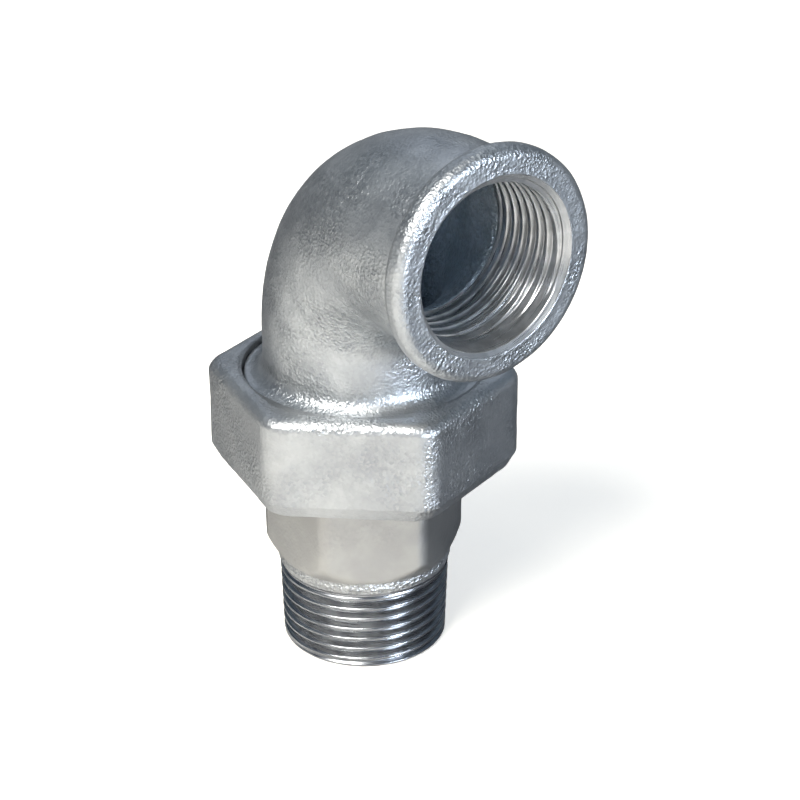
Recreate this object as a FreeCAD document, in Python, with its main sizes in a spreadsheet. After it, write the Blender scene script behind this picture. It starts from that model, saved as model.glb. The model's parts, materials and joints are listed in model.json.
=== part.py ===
import FreeCAD, Part
import Sketcher
import os

# Elbow pipe union, 1 inch, male taper thread to female parallel thread, flat seat.
# Origin at the centre of the male end face. +Z runs up the union axis, +X out of the female mouth.
# Four pieces: the male tailpiece, the flat gasket on its head, the elbow body that sits on the
# gasket, and the loose hexagon nut whose lip pulls the tailpiece's head up against the elbow.
# Pipe threads and the union thread are drawn as rings of the thread's own profile and pitch.

doc = FreeCAD.newDocument("PipeUnion")

# Driving sizes in millimetres, turns as counts, angles in degrees.
drivingSizes = {
    # pipe thread, 1 inch
    "thread_pitch": 2.309,
    "thread_depth": 1.479,
    "thread_major_radius": 16.6245,
    "taper_rate": 0.03125,
    "gauge_length": 10.4,
    "male_turns": 7,
    "female_turns": 7,
    # male tailpiece
    "male_wall": 1.92,
    "male_chamfer": 0.8,
    "runout_step": 0.2,
    "runout_length": 2.1,
    "tail_hex_step": 0.35,
    "tail_hex_length": 18.8,
    "tail_hex_chamfer": 4.0,
    "cut_margin": 1.0,
    "shoulder_overhang": 1.9,
    "shoulder_thickness": 3.2,
    # union nut
    "nut_gap": 0.4,
    "nut_height": 20.6,
    "nut_lip": 5.0,
    "nut_wall": 2.45,
    "nut_angle": -11.75,
    "nut_corner_round": 6.0,
    "nut_top_round": 2.4,
    "nut_bevel_height": 3.0,
    "nut_bevel_width": 1.5,
    "nut_entry_depth": 1.5,
    # union thread and seat
    "union_pitch": 2.309,
    "union_depth": 1.15,
    "neck_clearance": 0.3,
    "union_clearance": 0.2,
    "seat_clearance": 0.05,
    "collar_step": 1.05,
    "collar_height": 9.4,
    "collar_chamfer": 1.2,
    "gasket_thickness": 2.0,
    "gasket_inset": 0.5,
    # elbow body
    "outlet_height": 93.0,
    "outlet_reach": 40.2,
    "bend_radius": 25.0,
    "tube_wall": 2.78,
    "cavity_step": 0.35,
    "collar_fillet": 3.0,
    "bead_step": 2.7,
    "bead_width": 5.0,
    "bead_round": 2.0,
    "bead_fillet": 0.5,
    "mouth_chamfer": 1.95,
}

# Sizes that follow from the driving ones, so that the pieces keep fitting each other.
fittedSizes = {
    "thread_flat": "Sizes.thread_pitch / 6",
    "thread_flank": "(Sizes.thread_pitch - 2 * thread_flat) / 2",
    "male_end_radius": "Sizes.thread_major_radius - Sizes.gauge_length * Sizes.taper_rate",
    "waterway_radius": "male_end_radius - Sizes.thread_depth - Sizes.male_wall",
    "male_thread_end": "Sizes.male_chamfer + Sizes.male_turns * Sizes.thread_pitch + thread_flat",
    "runout_radius": "male_end_radius + male_thread_end * Sizes.taper_rate + Sizes.runout_step",
    "tail_hex_bottom": "male_thread_end + Sizes.runout_length",
    "tail_hex_top": "tail_hex_bottom + Sizes.tail_hex_length",
    "tail_hex_corner": "(runout_radius + Sizes.tail_hex_step) * 2 / sqrt(3)",
    "neck_radius": "tail_hex_corner",
    "shoulder_radius": "neck_radius + Sizes.shoulder_overhang",
    "nut_bottom": "tail_hex_top + Sizes.nut_gap",
    "nut_top": "nut_bottom + Sizes.nut_height",
    "nut_lip_top": "nut_bottom + Sizes.nut_lip",
    "nut_hole_radius": "neck_radius + Sizes.neck_clearance",
    "shoulder_bottom": "nut_lip_top + Sizes.seat_clearance",
    "shoulder_top": "shoulder_bottom + Sizes.shoulder_thickness",
    "gasket_bottom": "shoulder_top + Sizes.seat_clearance",
    "gasket_top": "gasket_bottom + Sizes.gasket_thickness",
    "collar_bottom": "gasket_top + Sizes.seat_clearance",
    "collar_top": "collar_bottom + Sizes.collar_height",
    "female_radius": "Sizes.thread_major_radius - Sizes.thread_depth",
    "cavity_radius": "female_radius - Sizes.cavity_step",
    "tube_radius": "Sizes.thread_major_radius + Sizes.tube_wall",
    "gasket_inner_radius": "cavity_radius + Sizes.gasket_inset",
    "gasket_outer_radius": "shoulder_radius - Sizes.gasket_inset",
    "union_radius": "max(shoulder_radius; tube_radius) + Sizes.collar_step",
    "union_flat": "Sizes.union_pitch / 4",
    "union_flank": "(Sizes.union_pitch - 2 * union_flat) / 2",
    "nut_crest_radius": "union_radius + Sizes.union_clearance",
    "nut_root_radius": "nut_crest_radius + Sizes.union_depth",
    "nut_corner": "(nut_root_radius + Sizes.nut_wall) * 2 / sqrt(3)",
    "nut_thread_start": "nut_top - Sizes.nut_entry_depth",
    # as many whole turns as the nut and the collar have room for
    "nut_turns": "floor((nut_thread_start - nut_lip_top - union_flat) / Sizes.union_pitch)",
    "collar_turns": "floor((Sizes.collar_height - Sizes.collar_chamfer - union_flat) / Sizes.union_pitch)",
    "bead_radius": "tube_radius + Sizes.bead_step",
    "bead_start": "Sizes.outlet_reach - Sizes.bead_width",
    "bead_edge": "min(Sizes.bead_round; 0.7 * Sizes.bead_step; 0.4 * Sizes.bead_width)",
    "bead_foot": "min(Sizes.bead_fillet; 0.2 * Sizes.bead_step)",
    "mouth_radius": "female_radius + Sizes.mouth_chamfer",
    "female_thread_start": "Sizes.outlet_reach - Sizes.mouth_chamfer",
    "female_thread_end": "female_thread_start - Sizes.female_turns * Sizes.thread_pitch - thread_flat",
    # the cored cavity turns where the female thread ends
    "cavity_bend": "female_thread_end",
    "cavity_bend_start": "Sizes.outlet_height - cavity_bend",
}


def fillSheet(name, cells, asFormula):
    sheet = doc.addObject("Spreadsheet::Sheet", name)
    for row, (alias, content) in enumerate(cells.items(), start=1):
        sheet.set(f"A{row}", alias)
        sheet.set(f"B{row}", f"={content}" if asFormula else str(content))
        sheet.setAlias(f"B{row}", alias)
    doc.recompute()
    return sheet


sizes = fillSheet("Sizes", drivingSizes, asFormula=False)
fillSheet("Fits", fittedSizes, asFormula=True)


def linked(expression):
    """The expression with each size's name pointed at the sheet that holds it."""
    words, word = [], ""
    for letter in expression + " ":
        if letter.isalnum() or letter in "_.":
            word += letter
            continue
        if word in drivingSizes:
            word = f"Sizes.{word}"
        elif word in fittedSizes:
            word = f"Fits.{word}"
        words.append(word + letter)
        word = ""
    return "".join(words).strip()


def value(expression):
    return float(sizes.evalExpression(linked(expression)))


def addBody(label):
    body = doc.addObject("PartDesign::Body", label)
    body.Label = label
    body.Placement = FreeCAD.Placement()
    return body


def addSketch(body, name, plane, shiftX="0", shiftY="0", shiftZ="0"):
    """A sketch on one of the body's own origin planes, moved within that plane's axes."""
    sketch = body.newObject("Sketcher::SketchObject", name)
    planes = [item for item in body.Origin.OriginFeatures if item.Role == plane]
    sketch.AttachmentSupport = [(planes[0], "")]
    sketch.MapMode = "FlatFace"
    for axis, shift in (("x", shiftX), ("y", shiftY), ("z", shiftZ)):
        if shift != "0":
            sketch.setExpression(f".AttachmentOffset.Base.{axis}", linked(shift))
    return sketch


def drawOutline(sketch, corners):
    """A closed outline of straight lines. Each corner is a pair of expressions of the sizes."""
    points = [FreeCAD.Vector(value(x), value(y), 0) for x, y in corners]
    count = len(points)
    for index in range(count):
        sketch.addGeometry(Part.LineSegment(points[index], points[(index + 1) % count]), False)
    for index in range(count):
        sketch.addConstraint(Sketcher.Constraint("Coincident", index, 2, (index + 1) % count, 1))
    for index, corner in enumerate(corners):
        for kind, number, expression in zip(("DistanceX", "DistanceY"), points[index], corner):
            made = sketch.addConstraint(Sketcher.Constraint(kind, -1, 1, index, 1, number))
            sketch.setExpression(f"Constraints[{made}]", linked(expression))


def drawCircle(sketch, centreX, radius):
    centre = FreeCAD.Vector(value(centreX), 0, 0)
    sketch.addGeometry(Part.Circle(centre, FreeCAD.Vector(0, 0, 1), value(radius)), False)
    sketch.addConstraint(Sketcher.Constraint("PointOnObject", 0, 3, -1))
    made = sketch.addConstraint(Sketcher.Constraint("DistanceX", -1, 1, 0, 3, centre.x))
    sketch.setExpression(f"Constraints[{made}]", linked(centreX))
    made = sketch.addConstraint(Sketcher.Constraint("Radius", 0, value(radius)))
    sketch.setExpression(f"Constraints[{made}]", linked(radius))


def turn(body, kind, sketch, axis, angle=360):
    """A Revolution or a Groove of the sketch about one of its own axes."""
    feature = body.newObject(f"PartDesign::{kind}", f"{sketch.Name}Turned")
    feature.Profile = sketch
    feature.ReferenceAxis = (sketch, [axis])
    feature.Angle = angle
    sketch.Visibility = False
    doc.recompute()
    return feature


def boreThrough(body, name, radius, bottom, top):
    """A plain bore about Z."""
    sketch = addSketch(body, name, "XZ_Plane")
    drawOutline(sketch, [("0", bottom), (radius, bottom), (radius, top), ("0", top)])
    return turn(body, "Groove", sketch, "V_Axis")


def prism(body, name, corner, angle, bottom, height):
    """A hexagon prism along Z. The angle is the direction of its first corner."""
    sketch = addSketch(body, name, "XY_Plane", shiftZ=bottom)
    turns = [f"({angle} + {60 * index})" for index in range(6)]
    drawOutline(sketch, [(f"{corner} * cos({at})", f"{corner} * sin({at})") for at in turns])
    pad = body.newObject("PartDesign::Pad", f"{name}Pad")
    pad.Profile = sketch
    pad.setExpression("Length", linked(height))
    sketch.Visibility = False
    doc.recompute()
    return pad


def dress(body, kind, name, chosen, **bound):
    """A Fillet or Chamfer of the edges of the body's tip that the test chooses."""
    base = body.Tip
    edges = [f"Edge{number}" for number, edge in enumerate(base.Shape.Edges, start=1) if chosen(edge)]
    feature = body.newObject(f"PartDesign::{kind}", name)
    feature.Base = (base, edges)
    if "Size2" in bound:
        feature.ChamferType = "Two distances"
    for setting, expression in bound.items():
        feature.setExpression(setting, linked(expression))
    doc.recompute()
    return feature


def near(first, second):
    return abs(first - second) < 1e-4


def ringAt(axis, place, radius):
    """A test for the full circle about the axis at that place and radius."""
    def chosen(edge):
        if not isinstance(edge.Curve, Part.Circle):
            return False
        along = abs(edge.Curve.Axis.dot(axis))
        middle = edge.Curve.Center.dot(axis)
        return near(along, 1) and near(middle, value(place)) and near(edge.Curve.Radius, value(radius))
    return chosen


def threadRings(start, direction, turns, pitch, flat, flank, crest, root):
    """Corners of a run of thread rings: (place, radius) pairs from the first crest to the last.
    crest and root give the radius at a place."""
    corners = []
    for index in range(turns):
        ring = f"{start} {direction} {index} * {pitch}"
        for reach, radius in (
            (f"{ring}", crest),
            (f"{ring} {direction} {flat}", crest),
            (f"{ring} {direction} {flat} {direction} {flank}", root),
            (f"{ring} {direction} 2 * {flat} {direction} {flank}", root),
        ):
            corners.append((reach, radius(reach)))
    last = f"{start} {direction} {turns} * {pitch}"
    corners.append((last, crest(last)))
    corners.append((f"{last} {direction} {flat}", crest(f"{last} {direction} {flat}")))
    return corners


Z = FreeCAD.Vector(0, 0, 1)
X = FreeCAD.Vector(1, 0, 0)


def buildTailpiece():
    """Male taper thread, run-out ring, spanner hexagon, round neck and the head the nut pulls on."""
    body = addBody("male_tailpiece")
    crest = lambda place: f"male_end_radius + ({place}) * taper_rate"
    root = lambda place: f"male_end_radius + ({place}) * taper_rate - thread_depth"
    thread = threadRings("male_chamfer", "+", int(value("male_turns")), "thread_pitch",
                         "thread_flat", "thread_flank", crest, root)
    sketch = addSketch(body, "barrel", "XZ_Plane")
    drawOutline(sketch, [
        ("0", "0"),
        ("male_end_radius - male_chamfer", "0"),
        *[(radius, place) for place, radius in thread],
        ("runout_radius", "male_thread_end + runout_step"),
        ("runout_radius", "tail_hex_top"),
        ("neck_radius", "tail_hex_top"),
        ("neck_radius", "shoulder_bottom"),
        ("shoulder_radius", "shoulder_bottom"),
        ("shoulder_radius", "shoulder_top"),
        ("0", "shoulder_top"),
    ])
    turn(body, "Revolution", sketch, "V_Axis")
    prism(body, "tailHexagon", "tail_hex_corner", "0", "tail_hex_bottom", "tail_hex_length")
    corners = addSketch(body, "tailHexagonCorners", "XZ_Plane")
    drawOutline(corners, [
        ("runout_radius", "tail_hex_bottom"),
        ("tail_hex_corner + cut_margin", "tail_hex_bottom"),
        ("tail_hex_corner + cut_margin", "tail_hex_bottom + tail_hex_chamfer"),
        ("tail_hex_corner", "tail_hex_bottom + tail_hex_chamfer"),
    ])
    turn(body, "Groove", corners, "V_Axis")
    boreThrough(body, "waterway", "waterway_radius", "0", "shoulder_top")
    return body


def buildGasket():
    body = addBody("gasket")
    sketch = addSketch(body, "washer", "XZ_Plane")
    drawOutline(sketch, [
        ("gasket_inner_radius", "gasket_bottom"),
        ("gasket_outer_radius", "gasket_bottom"),
        ("gasket_outer_radius", "gasket_top"),
        ("gasket_inner_radius", "gasket_top"),
    ])
    turn(body, "Revolution", sketch, "V_Axis")
    return body


def buildNut():
    """Hexagon nut, closed to a lip at the bottom, open and threaded at the top."""
    body = addBody("union_nut")
    prism(body, "nutHexagon", "nut_corner", "nut_angle", "nut_bottom", "nut_height")
    dress(body, "Fillet", "nutCorners", lambda edge: near(abs(edge.tangentAt(edge.FirstParameter).z), 1),
          Radius="nut_corner_round")
    dress(body, "Fillet", "nutTopRound", lambda edge: near(edge.BoundBox.ZMin, value("nut_top")),
          Radius="nut_top_round")
    dress(body, "Chamfer", "nutBevel", lambda edge: near(edge.BoundBox.ZMax, value("nut_bottom")),
          Size="nut_bevel_width", Size2="nut_bevel_height")
    thread = threadRings("nut_thread_start", "-", int(value("nut_turns")), "union_pitch",
                         "union_flat", "union_flank", lambda place: "nut_crest_radius",
                         lambda place: "nut_root_radius")
    sketch = addSketch(body, "nutBore", "XZ_Plane")
    drawOutline(sketch, [
        ("0", "nut_bottom"),
        ("nut_hole_radius", "nut_bottom"),
        ("nut_hole_radius", "nut_lip_top"),
        ("nut_crest_radius", "nut_lip_top"),
        *[(radius, place) for place, radius in reversed(thread)],
        ("nut_crest_radius + union_clearance", "nut_thread_start"),
        ("nut_crest_radius + union_clearance", "nut_top"),
        ("0", "nut_top"),
    ])
    turn(body, "Groove", sketch, "V_Axis")
    return body


def buildElbow():
    """Cast elbow: threaded collar, swept quarter bend, beaded mouth with the female thread."""
    body = addBody("elbow_body")
    unionRoot = "union_radius - union_depth"
    thread = threadRings("collar_bottom + collar_chamfer", "+", int(value("collar_turns")),
                         "union_pitch", "union_flat", "union_flank",
                         lambda place: "union_radius", lambda place: unionRoot)
    collar = addSketch(body, "collar", "XZ_Plane")
    drawOutline(collar, [
        ("0", "collar_bottom"),
        ("union_radius - collar_chamfer", "collar_bottom"),
        *[(radius, place) for place, radius in thread],
        ("union_radius", "collar_top"),
        ("tube_radius", "collar_top"),
        ("tube_radius", "outlet_height - bend_radius"),
        ("0", "outlet_height - bend_radius"),
    ])
    turn(body, "Revolution", collar, "V_Axis")
    bend = addSketch(body, "bend", "XY_Plane", shiftX="bend_radius", shiftZ="outlet_height - bend_radius")
    drawCircle(bend, "-bend_radius", "tube_radius")
    turn(body, "Revolution", bend, "V_Axis", 90)
    outlet = addSketch(body, "outlet", "XZ_Plane", shiftY="outlet_height")
    drawOutline(outlet, [
        ("bend_radius", "0"),
        ("bend_radius", "tube_radius"),
        ("bead_start", "tube_radius"),
        ("bead_start", "bead_radius"),
        ("outlet_reach", "bead_radius"),
        ("outlet_reach", "0"),
    ])
    turn(body, "Revolution", outlet, "H_Axis")
    dress(body, "Fillet", "collarFillet", ringAt(Z, "collar_top", "tube_radius"), Radius="collar_fillet")
    dress(body, "Fillet", "beadBackRound", ringAt(X, "bead_start", "bead_radius"), Radius="bead_edge")
    dress(body, "Fillet", "beadFrontRound", ringAt(X, "outlet_reach", "bead_radius"), Radius="bead_edge")
    dress(body, "Fillet", "beadFoot", ringAt(X, "bead_start", "tube_radius"), Radius="bead_foot")
    boreThrough(body, "inletBore", "cavity_radius", "collar_bottom", "cavity_bend_start")
    bendBore = addSketch(body, "bendBore", "XY_Plane", shiftX="cavity_bend", shiftZ="cavity_bend_start")
    drawCircle(bendBore, "-cavity_bend", "cavity_radius")
    turn(body, "Groove", bendBore, "V_Axis", 90)
    mouth = addSketch(body, "femaleThread", "XZ_Plane", shiftY="outlet_height")
    drawOutline(mouth, [
        ("outlet_reach", "0"),
        ("outlet_reach", "mouth_radius"),
        *threadRings("female_thread_start", "-", int(value("female_turns")), "thread_pitch",
                     "thread_flat", "thread_flank", lambda place: "female_radius",
                     lambda place: "thread_major_radius"),
        ("female_thread_end", "0"),
    ])
    turn(body, "Groove", mouth, "H_Axis")
    return body


bodies = [buildTailpiece(), buildGasket(), buildNut(), buildElbow()]
doc.recompute()

for item in doc.Objects:
    if "Invalid" in item.State or "Error" in item.State:
        raise RuntimeError(f"{item.Label} failed: {item.State}")
for body in bodies:
    if body.Shape.isNull() or not body.Shape.isValid() or len(body.Shape.Solids) != 1:
        raise RuntimeError(f"{body.Label} isn't one valid solid")

os.makedirs("parts", exist_ok=True)
for body in bodies:
    body.Shape.exportStep(f"parts/{body.Label}.step")
    box = body.Shape.BoundBox
    print(f"{body.Label}: {body.Shape.Volume:.0f} mm3, x {box.XMin:.2f} to {box.XMax:.2f}, "
          f"y {box.YMin:.2f} to {box.YMax:.2f}, z {box.ZMin:.2f} to {box.ZMax:.2f}")
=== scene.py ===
import bmesh
import bpy
import json
import math
from mathutils import Matrix, Vector, noise


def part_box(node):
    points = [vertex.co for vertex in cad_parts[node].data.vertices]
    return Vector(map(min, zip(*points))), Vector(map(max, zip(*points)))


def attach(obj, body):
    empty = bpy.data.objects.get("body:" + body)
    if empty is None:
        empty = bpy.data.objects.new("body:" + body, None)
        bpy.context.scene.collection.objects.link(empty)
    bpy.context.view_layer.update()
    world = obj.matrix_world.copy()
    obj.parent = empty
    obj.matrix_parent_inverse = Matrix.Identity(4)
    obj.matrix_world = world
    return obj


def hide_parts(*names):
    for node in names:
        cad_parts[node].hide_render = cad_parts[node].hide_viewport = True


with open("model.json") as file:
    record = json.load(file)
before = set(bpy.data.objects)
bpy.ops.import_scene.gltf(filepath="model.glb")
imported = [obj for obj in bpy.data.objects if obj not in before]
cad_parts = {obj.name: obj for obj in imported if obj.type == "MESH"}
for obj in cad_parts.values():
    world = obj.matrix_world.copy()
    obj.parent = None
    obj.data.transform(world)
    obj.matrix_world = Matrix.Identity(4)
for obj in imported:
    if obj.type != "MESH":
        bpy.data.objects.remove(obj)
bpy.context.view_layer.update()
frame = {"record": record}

# Galvanised malleable iron pipe union, elbow pattern. Meshes are worked in millimetres and scaled last.
mm = 0.001
weldGap = 1e-3  # between end rings that coincide, in mm
rowGap = 0.01  # tells one row of vertices from the next, in mm
mounts = {mount["name"]: mount for mount in frame["record"]["mounts"]}
fullTurn = 2 * math.pi


def nodeBox(name):
    low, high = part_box(name)
    return low / mm, high / mm


tailHigh = nodeBox("male_tailpiece")[1]  # it stands on the ground
gasketLow, gasketHigh = nodeBox("gasket")
nutLow, nutHigh = nodeBox("union_nut")
elbowLow, elbowHigh = nodeBox("elbow_body")
outletHeight = mounts["female_thread"]["pos_m"][2] / mm
waterwayRadius = mounts["waterway"]["dims"]["r_mm"]


def ease(value, start, end):
    # 0 before start, 1 after end, smooth between
    share = min(1.0, max(0.0, (value - start) / (end - start)))
    return share * share * (3 - 2 * share)


def outline(corners, gap):
    # corners are (radius, height, rounding); round corners become arcs, long runs are divided
    count = len(corners)
    points = []
    for index, (radius, height, rounding) in enumerate(corners):
        here = Vector((radius, height))
        if rounding == 0 or index in (0, count - 1):
            points.append(here)
            continue
        before = (Vector(corners[index - 1][:2]) - here).normalized()
        after = (Vector(corners[index + 1][:2]) - here).normalized()
        halfAngle = before.angle(after) / 2
        reach = rounding / math.tan(halfAngle)
        centre = here + (before + after).normalized() * rounding / math.sin(halfAngle)
        first = here + before * reach - centre
        sweep = first.angle_signed(here + after * reach - centre)
        steps = max(3, math.ceil(abs(sweep) * rounding / gap * 2))
        for step in range(steps + 1):
            turn = Matrix.Rotation(-sweep * step / steps, 2)
            points.append(centre + turn @ first)
    divided = [points[0]]
    for start, end in zip(points, points[1:]):
        parts = max(1, math.ceil((end - start).length / gap))
        divided += [start.lerp(end, part / parts) for part in range(1, parts + 1)]
    return divided


def addChain(bm, points):
    verts = [bm.verts.new((point[0], 0, point[1])) for point in points]
    return verts + [bm.edges.new(pair) for pair in zip(verts, verts[1:])]


def spunOutline(points, columns):
    # one full turn about Z
    bm = bmesh.new()
    bmesh.ops.spin(bm, geom=addChain(bm, points), cent=(0, 0, 0), axis=(0, 0, 1), angle=fullTurn,
                   steps=columns, use_merge=True)
    return bm


def weld(parts):
    # joins the parts of a piece, whose end rings coincide
    whole = bmesh.new()
    for part in parts:
        carrier = bpy.data.meshes.new("carrier")
        part.to_mesh(carrier)
        part.free()
        whole.from_mesh(carrier)
        bpy.data.meshes.remove(carrier)
    bmesh.ops.remove_doubles(whole, verts=whole.verts, dist=weldGap)
    bmesh.ops.recalc_face_normals(whole, faces=whole.faces)
    return whole


threadForm = {"rootStart": 0.88, "rounding": 0.35}


def threadProfile(size):
    # one pitch of a 55 degree thread with rounded crest and root; depth is negative for a nut's thread
    points = []
    for sample in range(size["samples"] + 1):
        phase = sample / size["samples"]
        fromCrest = 1 - abs(2 * phase - 1)  # 0 at the crests, 1 at the root
        flank = (fromCrest - size["crestShare"]) / (threadForm["rootStart"] - size["crestShare"])
        sharp = min(1.0, max(0.0, flank))
        cut = sharp + (ease(flank, 0, 1) - sharp) * threadForm["rounding"]
        points.append((size["crest"] - size["depth"] * cut, phase * size["pitch"]))
    return points


def screwThread(size, low, high, columns, shape):
    # a right-hand screw thread about Z between two heights
    # shape(radius, height, bearing) fades and tapers it
    bm = bmesh.new()
    turns = math.ceil((high - low) / size["pitch"]) + 3  # spare turns below and above are pressed flat
    start = (math.floor(low / size["pitch"]) - 2) * size["pitch"]
    profile = [(radius, start + height) for radius, height in threadProfile(size)]
    bmesh.ops.spin(bm, geom=addChain(bm, profile), cent=(0, 0, 0), axis=(0, 0, 1),
                   dvec=(0, 0, size["pitch"] / columns), angle=fullTurn, steps=columns)
    firstTurn = bm.verts[:] + bm.edges[:] + bm.faces[:]
    for turn in range(1, turns):
        copy = bmesh.ops.duplicate(bm, geom=firstTurn)["geom"]
        verts = [item for item in copy if isinstance(item, bmesh.types.BMVert)]
        bmesh.ops.translate(bm, vec=(0, 0, turn * size["pitch"]), verts=verts)
    bmesh.ops.remove_doubles(bm, verts=bm.verts, dist=weldGap / 10)
    for vert in bm.verts:
        height = min(max(vert.co.z, low), high)
        radius = Vector(vert.co.xy).length
        bearing = math.degrees(math.atan2(vert.co.y, vert.co.x))
        vert.co.xy *= shape(radius, height, bearing) / radius
        vert.co.z = height
    bmesh.ops.remove_doubles(bm, verts=bm.verts, dist=weldGap / 10)
    return bm


def hexagonise(verts, faceAngle, weight, bend):
    # moves each vertex from the circle of its radius to the hexagon with that apothem
    # the hexagon's corners are round, with radius bend
    cornerShare = 0.34  # of the vertices, for the rounded corners
    for vert in verts:
        apothem = Vector(vert.co.xy).length
        share = weight(apothem, vert.co.z)
        if share == 0:
            continue
        sector = (math.degrees(math.atan2(vert.co.y, vert.co.x)) - faceAngle + 30) / 60
        side = math.floor(sector)
        across = 2 * (sector - side) - 1  # -1 and 1 at the corners
        flatHalf = (apothem - bend) / math.sqrt(3)
        if abs(across) <= 1 - cornerShare:
            point = Vector((apothem, across / (1 - cornerShare) * flatHalf))
        else:
            arc = math.radians(30) * (abs(across) - 1 + cornerShare) / cornerShare
            point = Vector((apothem - bend + bend * math.cos(arc), flatHalf + bend * math.sin(arc)))
            point.y *= math.copysign(1, across)
        point.rotate(Matrix.Rotation(math.radians(faceAngle + 60 * side), 2))
        vert.co.xy = Vector(vert.co.xy).lerp(point, share)


castWaves = {"fineHeight": 0.45, "fineness": 2.3, "sink": 0.9}


def castLumps(bm, amount, grain, mask, seed):
    # the slight waviness that sand and dripping zinc leave on a casting
    # it is sunk, so that nothing stands proud of the piece's size
    bm.normal_update()
    moves = []
    for vert in bm.verts:
        share = mask(vert.co)
        if share:
            spot = vert.co / grain + Vector((seed, seed, seed))
            fine = noise.noise(spot * castWaves["fineness"]) * castWaves["fineHeight"]
            lump = noise.noise(spot) + fine - castWaves["sink"]
            moves.append((vert, vert.normal * lump * amount * share))
    for vert, move in moves:
        vert.co += move


def finishPiece(bm, name, node, body, materials, pick):
    loose = sum(1 for edge in bm.edges if not edge.is_manifold)
    for face in bm.faces:
        face.smooth = True
        face.material_index = pick(face.calc_center_median())
    bmesh.ops.scale(bm, vec=(mm, mm, mm), verts=bm.verts)
    mesh = bpy.data.meshes.new(name)
    bm.to_mesh(mesh)
    for material in materials:
        mesh.materials.append(material)
    piece = bpy.data.objects.new(name, mesh)
    bpy.context.scene.collection.objects.link(piece)
    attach(piece, body)
    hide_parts(node)
    volume = bm.calc_volume() / mm ** 3
    print(f"{name}: {len(bm.faces)} faces, {loose} open edges, volume {volume:.0f} mm3")
    bm.free()


def linear(colour):
    # an sRGB hex value, with alpha
    channels = [int(colour[index:index + 2], 16) / 255 for index in (0, 2, 4)]
    return [part / 12.92 if part <= 0.04045 else ((part + 0.055) / 1.055) ** 2.4 for part in channels] + [1]


def addNode(tree, kind, inputs=None, **settings):
    node = tree.nodes.new(kind)
    for setting, value in settings.items():
        setattr(node, setting, value)
    for socket, value in (inputs or {}).items():
        if isinstance(value, bpy.types.NodeSocket):
            tree.links.new(value, node.inputs[socket])
        else:
            node.inputs[socket].default_value = value
    return node


def perMetre(sizeInMm):
    return 1 / (sizeInMm * mm)


def newMaterial(name):
    material = bpy.data.materials.new(name)
    material.use_nodes = True
    tree = material.node_tree
    tree.nodes.clear()
    place = addNode(tree, "ShaderNodeTexCoord").outputs["Object"]
    shader = addNode(tree, "ShaderNodeBsdfPrincipled")
    output = addNode(tree, "ShaderNodeOutputMaterial")
    tree.links.new(shader.outputs["BSDF"], output.inputs["Surface"])
    return material, tree, place, shader


def patches(tree, place, sizeInMm, toLow, toHigh, detail=3.0, middle=(0.38, 0.62)):
    # soft patches of about that size, between two values
    cloud = addNode(tree, "ShaderNodeTexNoise",
                    {"Vector": place, "Scale": perMetre(sizeInMm), "Detail": detail})
    return addNode(tree, "ShaderNodeMapRange",
                   {"Value": cloud.outputs["Fac"], "From Min": middle[0], "From Max": middle[1],
                    "To Min": toLow, "To Max": toHigh},
                   interpolation_type="SMOOTHSTEP").outputs["Result"]


def castZinc(name, look):
    # hot-dip galvanised casting: dull zinc over the grain of the sand mould
    # it glints in tiny crystals where the coat froze rough, and lies smooth where it drained
    material, tree, place, shader = newMaterial(name)
    rough = patches(tree, place, look["patch"], look["smoothShare"], 1.0)
    tone = patches(tree, place, look["cloud"], 0.0, 1.0)
    base = addNode(tree, "ShaderNodeMix", {0: tone, 6: linear(look["dark"]), 7: linear(look["light"])},
                   data_type="RGBA").outputs[2]
    crystals = addNode(tree, "ShaderNodeTexVoronoi",
                       {"Vector": place, "Scale": perMetre(look["crystal"])})
    shade = addNode(tree, "ShaderNodeSeparateColor", {"Color": crystals.outputs["Color"]}).outputs["Red"]
    depth = addNode(tree, "ShaderNodeMath", {0: shade, 1: rough}, operation="MULTIPLY").outputs[0]
    speck = addNode(tree, "ShaderNodeMath", {0: depth, 1: look["speck"]}, operation="MULTIPLY").outputs[0]
    tint = addNode(tree, "ShaderNodeMix", {0: speck, 6: base, 7: linear(look["pit"])},
                   data_type="RGBA").outputs[2]
    tree.links.new(tint, shader.inputs["Base Color"])
    shader.inputs["Metallic"].default_value = look["metallic"]
    gloss = addNode(tree, "ShaderNodeMapRange",
                    {"Value": depth, "To Min": look["rough"] + look["duller"],
                     "To Max": look["rough"] - look["brighter"]}).outputs["Result"]
    tree.links.new(gloss, shader.inputs["Roughness"])
    grain = addNode(tree, "ShaderNodeTexNoise",
                    {"Vector": place, "Scale": perMetre(look["grain"]), "Detail": 4.0, "Roughness": 0.6})
    facets = addNode(tree, "ShaderNodeBump", {"Height": crystals.outputs["Distance"], "Strength": rough,
                                              "Distance": look["facetDepth"] * mm})
    skin = addNode(tree, "ShaderNodeBump", {"Height": grain.outputs["Fac"], "Strength": rough,
                                            "Distance": look["grainDepth"] * mm,
                                            "Normal": facets.outputs["Normal"]})
    tree.links.new(skin.outputs["Normal"], shader.inputs["Normal"])
    return material


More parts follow.
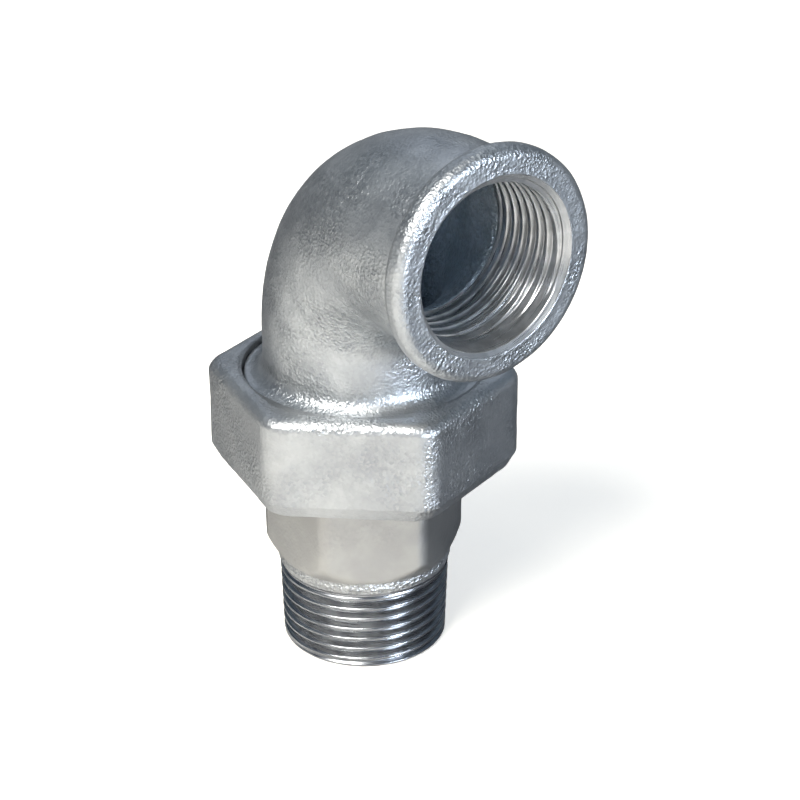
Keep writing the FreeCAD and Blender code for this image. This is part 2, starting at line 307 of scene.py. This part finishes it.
def cutIron(name, look, axis):
    # threads cut through the zinc: bare iron with fine tool lines round the axis
    material, tree, place, shader = newMaterial(name)
    stretch = [perMetre(look["lineLength"])] * 3
    stretch[axis] = perMetre(look["toolLine"])
    turned = addNode(tree, "ShaderNodeMapping", {"Vector": place, "Scale": stretch})
    lines = addNode(tree, "ShaderNodeTexNoise",
                    {"Vector": turned.outputs["Vector"], "Scale": 1.0, "Detail": 2.0})
    stain = patches(tree, place, look["stain"], 0.0, 1.0, detail=4.0)
    base = addNode(tree, "ShaderNodeMix", {0: stain, 6: linear(look["dark"]), 7: linear(look["light"])},
                   data_type="RGBA").outputs[2]
    tree.links.new(base, shader.inputs["Base Color"])
    shader.inputs["Metallic"].default_value = look["metallic"]
    gloss = addNode(tree, "ShaderNodeMapRange",
                    {"Value": lines.outputs["Fac"],
                     "From Min": look["lineLow"], "From Max": look["lineHigh"],
                     "To Min": look["rough"] - look["brighter"],
                     "To Max": look["rough"] + look["duller"]}).outputs["Result"]
    tree.links.new(gloss, shader.inputs["Roughness"])
    bump = addNode(tree, "ShaderNodeBump",
                   {"Height": lines.outputs["Fac"], "Strength": look["lineStrength"],
                    "Distance": look["lineDepth"] * mm})
    tree.links.new(bump.outputs["Normal"], shader.inputs["Normal"])
    return material


# sizes in mm; the crystals and the grain are drawn several times coarser than real zinc's, to show at all
castSkin = {
    "dark": "A6A9AC", "light": "B6B9BB", "cloud": 9,
    "pit": "5E646A", "crystal": 0.6, "speck": 0.42, "facetDepth": 0.17,
    "grain": 0.8, "grainDepth": 0.18,
    "patch": 14, "smoothShare": 0.4,
    "metallic": 0.92, "rough": 0.35, "duller": 0.08, "brighter": 0.06,
}
elbowLook = {**castSkin, "facetDepth": 0.14}
# painted light: the cored cavity takes a bluer copy of the cast zinc, less metallic so that its colour
# shows, which brightens the recess with a bluish tint of light
cavityPaintedLightLook = {**castSkin, "dark": "97A3AC", "light": "B4BEC6", "metallic": 0.25, "rough": 0.45,
              "smoothShare": 0.9, "facetDepth": 0.3}
nutLook = {**castSkin, "dark": "A6A8AA", "light": "B2B4B5", "patch": 11, "speck": 0.26}
ringLook = {**castSkin, "dark": "B4B5B5", "light": "C2C3C3", "smoothShare": 1.0, "facetDepth": 0.3}
tailLook = {**castSkin, "dark": "A1A09E", "light": "ABAAA7", "smoothShare": 0.08, "facetDepth": 0.06,
            "speck": 0.15, "grainDepth": 0.06}

# tool lines are drawn at 0.2 mm, because the real ones are too fine to show
cutSkin = {
    "dark": "75777A", "light": "9C9EA1", "stain": 3.5, "metallic": 1.0,
    "toolLine": 0.2, "lineLength": 8, "lineDepth": 0.06, "lineStrength": 0.3,
    "lineLow": 0.3, "lineHigh": 0.7,
    "rough": 0.3, "duller": 0.1, "brighter": 0.06,
}
maleLook = {**cutSkin, "dark": "86888C", "lineLength": 14, "rough": 0.25, "lineStrength": 0.12}
femaleLook = {**cutSkin, "dark": "A2A4A6", "light": "B8BABC", "lineLength": 12, "metallic": 0.85}

elbowZinc = castZinc("elbowCastZinc", elbowLook)
# the cavity's copy carries painted bluish light
cavityPaintedLightZinc = castZinc("cavityCastZinc", cavityPaintedLightLook)
nutZinc = castZinc("nutCastZinc", nutLook)
ringZinc = castZinc("ringCastZinc", ringLook)
tailZinc = castZinc("tailCastZinc", tailLook)
maleCutIron = cutIron("maleThreadCutIron", maleLook, axis=2)
femaleCutIron = cutIron("femaleThreadCutIron", femaleLook, axis=0)
seatCutIron = cutIron("seatCutIron", cutSkin, axis=2)
print("materials made")

# the male tailpiece, with its end on the ground
tail = {
    "columns": 240,
    "endRadius": 16.3, "taper": 1 / 32, "faceRadius": 15.65, "endChamfer": 0.35, "leadIn": 1.6,
    "threadTop": 17.6, "fade": 2.6, "ringRadius": 17.1, "ringSwell": 0.15, "ringRise": 0.7,
    "hexBottom": 19.45, "hexTop": 38.25, "hexFlat": 17.39, "hexCorner": 3.2, "hexAngle": -30,
    "hexFoot": 0.5, "hexBlend": 0.4,
    "coneWidth": 3.0, "coneHeight": 4.0, "coneSoftness": 0.35, "coneLift": 0.105,
    "shoulderBottom": 43.7, "shoulderWidth": 1.9, "wornEdge": 0.4, "boreEdge": 0.5,
    "lumpHeight": 0.06, "lumpWidth": 4.0, "lumpSeed": 3,
}
pipeThread = {"pitch": 2.309, "depth": 1.479, "samples": 14, "crestShare": 0.14}


def buildTailpiece():
    columns = tail["columns"]
    lowest = tail["endChamfer"]
    neckRadius = tailHigh.x - tail["shoulderWidth"]
    crestTop = tail["endRadius"] + tail["threadTop"] * tail["taper"]

    def taper(radius, height, bearing):
        crest = tail["endRadius"] + height * tail["taper"]
        cut = tail["endRadius"] - radius
        cut *= 1 - ease(height, tail["threadTop"] - tail["fade"], tail["threadTop"])
        cut *= ease(height, lowest, lowest + tail["leadIn"])
        chamfer = tail["faceRadius"] + height
        return min(crest - cut, chamfer)

    maleThread = {**pipeThread, "crest": tail["endRadius"]}
    thread = screwThread(maleThread, lowest, tail["threadTop"], columns, taper)
    endFace = spunOutline(outline([
        (waterwayRadius, 0, 0),
        (tail["faceRadius"], 0, 0),
        (tail["faceRadius"] + lowest, lowest, 0),
    ], gap=1), columns)
    ring = spunOutline(outline([
        (crestTop, tail["threadTop"], 0),
        (tail["ringRadius"] + tail["ringSwell"], tail["threadTop"] + tail["ringRise"], 0.3),
        (tail["ringRadius"], tail["hexBottom"], 0),
    ], gap=0.4), columns)
    hexagon = spunOutline(outline([
        (tail["ringRadius"], tail["hexBottom"], 0),
        (tail["hexFlat"], tail["hexBottom"] + tail["hexFoot"], 0.3),
        (tail["hexFlat"], tail["hexTop"], 0),
    ], gap=0.45), columns)

    def weight(apothem, height):
        # the top row stays round, to meet the neck
        if height > tail["hexTop"] - rowGap:
            return 0
        return ease(height, tail["hexBottom"], tail["hexBottom"] + tail["hexBlend"])

    hexagonise(hexagon.verts, tail["hexAngle"], weight, tail["hexCorner"])
    # the turned lower corners: a cone cuts the hexagon, and a soft minimum rounds the edge between them
    slope = tail["coneWidth"] / tail["coneHeight"]
    soft = tail["coneSoftness"]
    for vert in hexagon.verts:
        if vert.co.z < tail["hexBottom"] + rowGap:
            continue  # the first row stays on the ring
        radius = Vector(vert.co.xy).length
        limit = tail["ringRadius"] + (vert.co.z - tail["hexBottom"]) * slope
        blend = -soft * math.log(math.exp(-radius / soft) + math.exp(-limit / soft))
        vert.co.xy *= min(radius, blend + tail["coneLift"]) / radius
        if vert.co.z > tail["hexTop"] - rowGap:
            vert.co.xy *= neckRadius / Vector(vert.co.xy).length
    head = spunOutline(outline([
        (neckRadius, tail["hexTop"], 0),
        (neckRadius, tail["shoulderBottom"], tail["wornEdge"]),
        (tailHigh.x, tail["shoulderBottom"], tail["wornEdge"]),
        (tailHigh.x, tailHigh.z, tail["wornEdge"]),
        (waterwayRadius, tailHigh.z, tail["boreEdge"]),
        (waterwayRadius, 0, 0),
    ], gap=1.2), columns)

    def pick(centre):
        # the thread and the seat are cut, and the rest is as cast; the margins take in the edges' roundings
        if Vector(centre.xy).length < waterwayRadius + 0.6:
            return 0
        if centre.z < tail["threadTop"] - 0.4:
            return 1
        if centre.z < tail["hexBottom"] + 0.3:
            return 3
        return 2 if centre.z > tailHigh.z - 0.5 else 0

    def mask(place):
        aboveThread = ease(place.z, tail["threadTop"], tail["threadTop"] + 1)
        return aboveThread * (1 - ease(place.z, tail["hexTop"] - 1, tail["hexTop"]))

    bm = weld([endFace, thread, ring, hexagon, head])
    castLumps(bm, tail["lumpHeight"], tail["lumpWidth"], mask, tail["lumpSeed"])
    finishPiece(bm, "tailpiece", "male_tailpiece", "tailpiece",
                [tailZinc, maleCutIron, seatCutIron, ringZinc], pick)


buildTailpiece()

# the flat sealing ring between the seats
gasketRing = {
    "columns": 96, "innerRadius": 15.3, "edge": 0.5,
    "dark": "17181A", "light": "2A2B2C", "mottle": 1.5, "glossy": 0.55, "dull": 0.7,
    "bumpDepth": 0.1, "bumpStrength": 0.2,
}


def blackRubber():
    # moulded nitrile: near black, soft sheen, faint mottling
    material, tree, place, shader = newMaterial("gasketNitrile")
    mottle = patches(tree, place, gasketRing["mottle"], 0.0, 1.0)
    base = addNode(tree, "ShaderNodeMix",
                   {0: mottle, 6: linear(gasketRing["dark"]), 7: linear(gasketRing["light"])},
                   data_type="RGBA").outputs[2]
    tree.links.new(base, shader.inputs["Base Color"])
    sheen = patches(tree, place, gasketRing["mottle"], gasketRing["glossy"], gasketRing["dull"])
    tree.links.new(sheen, shader.inputs["Roughness"])
    bump = addNode(tree, "ShaderNodeBump",
                   {"Height": mottle, "Strength": gasketRing["bumpStrength"],
                    "Distance": gasketRing["bumpDepth"] * mm})
    tree.links.new(bump.outputs["Normal"], shader.inputs["Normal"])
    return material


def buildGasket():
    inner, edge = gasketRing["innerRadius"], gasketRing["edge"]
    middle = (gasketLow.z + gasketHigh.z) / 2
    ring = spunOutline(outline([
        (inner, middle, 0),
        (inner, gasketLow.z, edge),
        (gasketHigh.x, gasketLow.z, edge),
        (gasketHigh.x, gasketHigh.z, edge),
        (inner, gasketHigh.z, edge),
        (inner, middle, 0),
    ], gap=0.8), gasketRing["columns"])
    finishPiece(weld([ring]), "gasketRing", "gasket", "seal",
                [blackRubber()], lambda centre: 0)


buildGasket()

# the loose nut: its lip hangs on the tailpiece's shoulder, its thread is open to the top
nut = {
    "columns": 192, "faceAngle": -41.75, "flat": 26.83, "corner": 6.0,
    "lip": 5.0, "holeRadius": 20.38, "entryRadius": 23.43, "entryDepth": 1.5,
    "topRound": 2.4, "bevelHeight": 3.0, "bevelWidth": 1.5, "wornEdge": 0.5,
    "threadFoot": 0.6, "threadFade": 1.5,
    "lumpHeight": 0.09, "lumpWidth": 5.0, "lumpSeed": 11,
}
unionThread = {"pitch": 2.309, "depth": 1.15, "samples": 10, "crestShare": 0.25}
nutThread = {**unionThread, "crest": 22.1}
collarThread = {**unionThread, "crest": 23.03}


def buildNut():
    columns = nut["columns"]
    threadLow = nutLow.z + nut["lip"] + nut["threadFoot"]
    threadHigh = nutHigh.z - nut["entryDepth"]
    rootRadius = nutThread["crest"] + nutThread["depth"]
    holeEdge = nut["holeRadius"] + nut["wornEdge"]

    def fade(radius, height, bearing):
        depth = radius - nutThread["crest"]
        low = 1 - ease(height, threadLow, threadLow + nut["threadFade"])
        high = ease(height, threadHigh - nut["threadFade"], threadHigh)
        return nutThread["crest"] + max(depth, nutThread["depth"] * max(low, high))

    thread = screwThread({**nutThread, "depth": -nutThread["depth"]}, threadLow, threadHigh, columns, fade)
    bottomFlat = nut["flat"] - nut["bevelWidth"]
    outside = spunOutline(outline([
        (nut["entryRadius"], nutHigh.z, 0),
        (nut["flat"], nutHigh.z, nut["topRound"]),
        (nut["flat"], nutLow.z + nut["bevelHeight"], nut["wornEdge"]),
        (bottomFlat, nutLow.z, nut["wornEdge"]),
        (holeEdge, nutLow.z, 0),
    ], gap=0.6), columns)

    def weight(apothem, height):
        # the end faces go from the round holes to the hexagon
        if height > nutHigh.z - rowGap:
            return ease(apothem, nut["entryRadius"], nut["flat"] - nut["topRound"])
        if height < nutLow.z + rowGap:
            return ease(apothem, holeEdge, bottomFlat - nut["wornEdge"])
        return 1

    hexagonise(outside.verts, nut["faceAngle"], weight, nut["corner"])
    lip = spunOutline(outline([
        (holeEdge, nutLow.z, 0),
        (nut["holeRadius"], nutLow.z + nut["wornEdge"], 0.2),
        (nut["holeRadius"], nutLow.z + nut["lip"], 0.4),
        (rootRadius, nutLow.z + nut["lip"], 0.3),
        (rootRadius, threadLow, 0),
    ], gap=1), columns)
    entry = spunOutline(outline([
        (rootRadius, threadHigh, 0),
        (nut["entryRadius"], threadHigh + 0.2, 0.1),
        (nut["entryRadius"], nutHigh.z, 0),
    ], gap=0.6), columns)

    def mask(place):
        return ease(Vector(place.xy).length, nut["entryRadius"], nut["entryRadius"] + 1.5)

    def pick(centre):
        # everything inside the entry is cut, above the hole's worn edge
        inside = Vector(centre.xy).length < nut["entryRadius"] - 0.02
        return 1 if inside and centre.z > nutLow.z + 0.6 else 0

    bm = weld([outside, lip, thread, entry])
    castLumps(bm, nut["lumpHeight"], nut["lumpWidth"], mask, nut["lumpSeed"])
    finishPiece(bm, "unionNut", "union_nut", "nut", [nutZinc, seatCutIron], pick)


buildNut()

# the cast elbow, from the threaded collar in the nut to the beaded mouth
elbow = {
    "columns": 200, "tubeRadius": 19.4, "bend": 25.0, "cavityRadius": 14.8,
    "collarRadius": 23.03, "collarHeight": 9.4, "collarFillet": 3.0, "collarEdge": 0.5, "collarPlain": 1.6,
    "chamfer": 1.2, "chamferFade": 0.8, "threadFade": 1.5,
    "beadRadius": 22.1, "beadWidth": 5.0, "beadRound": 2.0, "beadFoot": 0.9,
    "mouthChamfer": 1.95, "mouthLip": 1.35, "mouthSlope": 1.2, "mouthEdge": 0.3,
    "threadLength": 18.5, "grooveDepth": 1.05, "crestShare": 0.34, "innerFade": 2.0,
    "reamedSide": -30, "reamedCut": 1.9, "reamedLength": 12, "reamedOffset": 1.0,
    "lumpHeight": 0.1, "lumpWidth": 5.5, "lumpSeed": 23,
}


def bendRows(verts, radius, start):
    # bends a straight pipe along Z into a quarter turn towards X, then straight on
    length = radius * math.pi / 2
    for vert in verts:
        past = vert.co.z - start
        if past <= 0:
            continue
        angle = min(past / radius, math.pi / 2)
        beyond = max(0, past - length)
        across = radius - vert.co.x
        vert.co.x = radius - across * math.cos(angle) + beyond
        vert.co.z = start + across * math.sin(angle)


def buildElbow():
    columns = elbow["columns"]
    seat = elbowLow.z
    collarTop = seat + elbow["collarHeight"]
    reach = elbowHigh.x
    crestRadius = mounts["female_thread"]["dims"]["r_mm"]
    rootRadius = crestRadius + pipeThread["depth"]
    threadMouth = reach - elbow["mouthChamfer"]
    countersinkTop = threadMouth + elbow["mouthLip"]
    threadInner = reach - elbow["threadLength"]

    # collar thread
    collarLow, collarHigh = seat + elbow["chamfer"], collarTop - elbow["collarPlain"]
    collarRoot = collarThread["crest"] - collarThread["depth"]

    def collarFade(radius, height, bearing):
        cut = collarThread["crest"] - radius
        low = 1 - ease(height, collarLow, collarLow + elbow["chamferFade"])
        high = ease(height, collarHigh - elbow["threadFade"], collarHigh)
        return collarThread["crest"] - max(cut * (1 - high), collarThread["depth"] * low)

    unionCut = screwThread(collarThread, collarLow, collarHigh, columns, collarFade)
    seatFace = spunOutline(outline([
        (elbow["cavityRadius"], seat, 0),
        (collarRoot - 0.3, seat, 0.2),
        (collarRoot, collarLow, 0),
    ], gap=1), columns)

    # outside, straight at first, then bent
    bendStart = outletHeight - elbow["bend"]
    bendLength = elbow["bend"] * math.pi / 2
    straight = bendStart + bendLength - elbow["bend"]  # plus an x past the bend, a height before bending
    outside = spunOutline(outline([
        (elbow["collarRadius"], collarHigh, 0),
        (elbow["collarRadius"], collarTop, elbow["collarEdge"]),
        (elbow["tubeRadius"], collarTop, elbow["collarFillet"]),
        (elbow["tubeRadius"], straight + reach - elbow["beadWidth"], elbow["beadFoot"]),
        (elbow["beadRadius"], straight + reach - elbow["beadWidth"], elbow["beadRound"]),
        (elbow["beadRadius"], straight + reach, elbow["beadRound"]),
        (crestRadius + elbow["mouthChamfer"], straight + reach, elbow["mouthEdge"]),
        (rootRadius, straight + countersinkTop, 0),
    ], gap=0.62), columns)
    bendRows(outside.verts, elbow["bend"], bendStart)

    # female thread, cut along Z and then turned to face +X
    def mouthFade(radius, height, bearing):
        depth = (radius - crestRadius) * elbow["grooveDepth"] / pipeThread["depth"]
        inner = 1 - ease(height, threadInner, threadInner + elbow["innerFade"])
        countersink = pipeThread["depth"] - (countersinkTop - height) * elbow["mouthSlope"]
        # the reamer that opened the mouth ran to one side, and took the thread's first turns off there
        side = math.cos(math.radians(bearing - elbow["reamedSide"]))
        reamed = elbow["reamedCut"] * (1 - (threadMouth - height) / elbow["reamedLength"])
        reamed -= elbow["reamedOffset"] * (1 - side)
        return crestRadius + max(depth * (1 - inner), countersink, min(reamed, elbow["grooveDepth"]))

    femaleThread = {**pipeThread, "crest": crestRadius, "depth": -pipeThread["depth"],
                    "crestShare": elbow["crestShare"]}
    mouthCut = screwThread(femaleThread, threadInner, countersinkTop, columns, mouthFade)
    turned = Matrix.Translation((0, 0, outletHeight)) @ Matrix.Rotation(math.pi / 2, 4, "Y")
    bmesh.ops.transform(mouthCut, matrix=turned, verts=mouthCut.verts)

    # the cored cavity, whose bend ends where the female thread begins
    cavityStart = outletHeight - threadInner
    cavityEnd = cavityStart + threadInner * math.pi / 2
    cavity = spunOutline(outline([
        (elbow["cavityRadius"], seat, 0),
        (elbow["cavityRadius"], cavityEnd - 0.5, 0),
        (crestRadius, cavityEnd, 0),
    ], gap=1.0), columns)
    bendRows(cavity.verts, threadInner, cavityStart)

    def mask(place):
        # the collar and the thread are cut, so they are true
        if place.z < collarTop - 0.2:
            return 0
        fromAxis = Vector((place.y, place.z - outletHeight)).length
        return 0 if place.x > threadInner - 2 and fromAxis < rootRadius + 0.7 else 1

    def inCavity(centre):
        # measured from the centreline of the cored cavity, which turns about a corner at threadInner
        corner = Vector((threadInner, centre.y, outletHeight - threadInner))
        out = Vector((centre.x - corner.x, centre.z - corner.z))
        if out.x < 0 and out.y > 0:
            across = out.length - threadInner
        else:
            across = centre.x if centre.z < corner.z else centre.z - outletHeight
        return math.hypot(across, centre.y) < elbow["cavityRadius"] + 0.35

    def pick(centre):
        # cut thread, cast cavity, cut collar, cast outside; the margins take in the edges' roundings
        fromAxis = Vector((centre.y, centre.z - outletHeight)).length
        if centre.x > threadInner - 0.1 and fromAxis < rootRadius + 0.5:
            return 1
        if inCavity(centre):
            return 3
        onCollar = centre.z < collarTop - 0.3 and Vector(centre.xy).length > elbow["cavityRadius"] + 0.1
        return 2 if onCollar else 0

    bm = weld([seatFace, unionCut, outside, mouthCut, cavity])
    castLumps(bm, elbow["lumpHeight"], elbow["lumpWidth"], mask, elbow["lumpSeed"])
    finishPiece(bm, "elbowCasting", "elbow_body", "elbow",
                [elbowZinc, femaleCutIron, seatCutIron, cavityPaintedLightZinc], pick)


buildElbow()
print("pieces made")

# the studio, in metres and watts
studio = {
    "floorSize": 16.0, "floorColour": "F6F2EB", "floorRoughness": 0.8,
    # painted light: the floor glows for camera rays, more with distance, to wash out its shadow and its
    # falloff to white
    "paleFrom": 0.3, "paleTo": 1.2, "nearGlow": 0.5, "farGlow": 0.95,
    # painted shade: the floor colour that reflections see, dark except towards the lit side
    "roomColour": "4F5053", "litSide": (0.31, -0.95, 0), "litFrom": -0.2, "litTo": 0.82,
    "worldStrength": 0.9, "horizon": "F0F1F2", "zenith": "8A949E",
    "between": ((0.07, "A9B0B7"), (0.2, "65717E"), (0.45, "55636F"), (0.75, "93A2B2")),
}
softboxes = {
    "keySoftbox": {"place": (0.22, -0.56, 0.66), "aim": (0, 0, 0.05), "size": 0.42, "power": 11.5,
                   "spread": 180, "colour": "FFFCF6"},
    "floorSoftbox": {"place": (0.15, -0.26, 0.6), "aim": (0.15, -0.26, 0), "size": 0.3, "power": 0.32,
                     "spread": 55, "colour": "FFFAF2"},
    "mouthSoftbox": {"place": (1.2, 0.15, 0.24), "aim": (0.03, 0, 0.09), "size": 0.3, "power": 0.95,
                     "spread": 40, "colour": "DCE8F8"},
    "backSoftbox": {"place": (-0.8, 0.6, 1.0), "aim": (0, 0, 0.05), "size": 0.8, "power": 1.5,
                    "spread": 180, "colour": "EAF1FF"},
}


def buildFloor():
    bm = bmesh.new()
    bmesh.ops.create_grid(bm, x_segments=1, y_segments=1, size=studio["floorSize"] / 2)
    mesh = bpy.data.meshes.new("floor")
    bm.to_mesh(mesh)
    bm.free()
    floor = bpy.data.objects.new("floor", mesh)
    material, tree, place, shader = newMaterial("paleStudioFloor")
    shader.inputs["Roughness"].default_value = studio["floorRoughness"]
    # the camera sees pale paper out to the horizon; reflections and bounce light see painted shade instead,
    # a darker floor that turns pale only towards one side, as if lit from there
    seen = addNode(tree, "ShaderNodeLightPath").outputs["Is Camera Ray"]
    outward = addNode(tree, "ShaderNodeVectorMath", {0: place}, operation="NORMALIZE").outputs["Vector"]
    toward = addNode(tree, "ShaderNodeVectorMath", {0: outward, 1: studio["litSide"]},
                     operation="DOT_PRODUCT").outputs["Value"]
    paintedLitShare = addNode(tree, "ShaderNodeMapRange",
                  {"Value": toward, "From Min": studio["litFrom"], "From Max": studio["litTo"]},
                  interpolation_type="SMOOTHSTEP").outputs["Result"]
    pale = linear(studio["floorColour"])
    paintedShadeRoom = addNode(tree, "ShaderNodeMix", {0: paintedLitShare, 6: linear(studio["roomColour"]), 7: pale},
                   data_type="RGBA").outputs[2]
    base = addNode(tree, "ShaderNodeMix", {0: seen, 6: paintedShadeRoom, 7: pale}, data_type="RGBA").outputs[2]
    tree.links.new(base, shader.inputs["Base Color"])
    # painted light: only camera rays see the floor glow, weaker close by and stronger far off, which pales
    # its shadow and its dim far side
    away = addNode(tree, "ShaderNodeVectorMath", {0: place}, operation="LENGTH").outputs["Value"]
    glow = addNode(tree, "ShaderNodeMapRange",
                   {"Value": away, "From Min": studio["paleFrom"], "From Max": studio["paleTo"],
                    "To Min": studio["nearGlow"], "To Max": studio["farGlow"]},
                   interpolation_type="SMOOTHSTEP").outputs["Result"]
    paintedCameraGlow = addNode(tree, "ShaderNodeMath", {0: glow, 1: seen}, operation="MULTIPLY").outputs[0]
    shader.inputs["Emission Color"].default_value = pale
    tree.links.new(paintedCameraGlow, shader.inputs["Emission Strength"])
    mesh.materials.append(material)
    bpy.context.scene.collection.objects.link(floor)


def addSoftbox(name, box):
    light = bpy.data.lights.new(name, "AREA")
    light.shape = "SQUARE"
    light.size = box["size"]
    light.energy = box["power"]
    light.color = linear(box["colour"])[:3]
    light.spread = math.radians(box["spread"])
    lamp = bpy.data.objects.new(name, light)
    lamp.location = box["place"]
    lamp.rotation_euler = (Vector(box["aim"]) - Vector(box["place"])).to_track_quat("-Z", "Y").to_euler()
    bpy.context.scene.collection.objects.link(lamp)


def buildWorld():
    world = bpy.data.worlds.new("studioWorld")
    bpy.context.scene.world = world
    world.use_nodes = True
    tree = world.node_tree
    tree.nodes.clear()
    direction = addNode(tree, "ShaderNodeTexCoord").outputs["Generated"]
    upward = addNode(tree, "ShaderNodeSeparateXYZ", {"Vector": direction}).outputs["Z"]
    colours = addNode(tree, "ShaderNodeValToRGB", {"Fac": upward})
    stops = colours.color_ramp.elements
    stops[0].color = linear(studio["horizon"])
    stops[1].color = linear(studio["zenith"])
    for height, colour in studio["between"]:
        stops.new(height).color = linear(colour)
    glow = addNode(tree, "ShaderNodeBackground",
                   {"Color": colours.outputs["Color"], "Strength": studio["worldStrength"]})
    output = addNode(tree, "ShaderNodeOutputWorld")
    tree.links.new(glow.outputs["Background"], output.inputs["Surface"])


view = {"azimuth": 52.85, "elevation": 26.52, "distance": 0.46355, "target": (0.01186, 0, 0.05589),
        "lens": 109.7, "sensor": 36}


def buildCamera():
    camera = bpy.data.cameras.new("camera")
    camera.lens = view["lens"]
    camera.sensor_width = view["sensor"]
    holder = bpy.data.objects.new("camera", camera)
    azimuth, elevation = math.radians(view["azimuth"]), math.radians(view["elevation"])
    back = Vector((math.sin(azimuth) * math.cos(elevation),
                   -math.cos(azimuth) * math.cos(elevation),
                   math.sin(elevation)))
    holder.location = Vector(view["target"]) + back * view["distance"]
    holder.rotation_euler = (-back).to_track_quat("-Z", "Y").to_euler()
    bpy.context.scene.collection.objects.link(holder)
    bpy.context.scene.camera = holder


buildFloor()
buildWorld()
buildCamera()
for name, box in softboxes.items():
    addSoftbox(name, box)
bpy.context.scene.view_settings.view_transform = "Standard"
print("studio made")
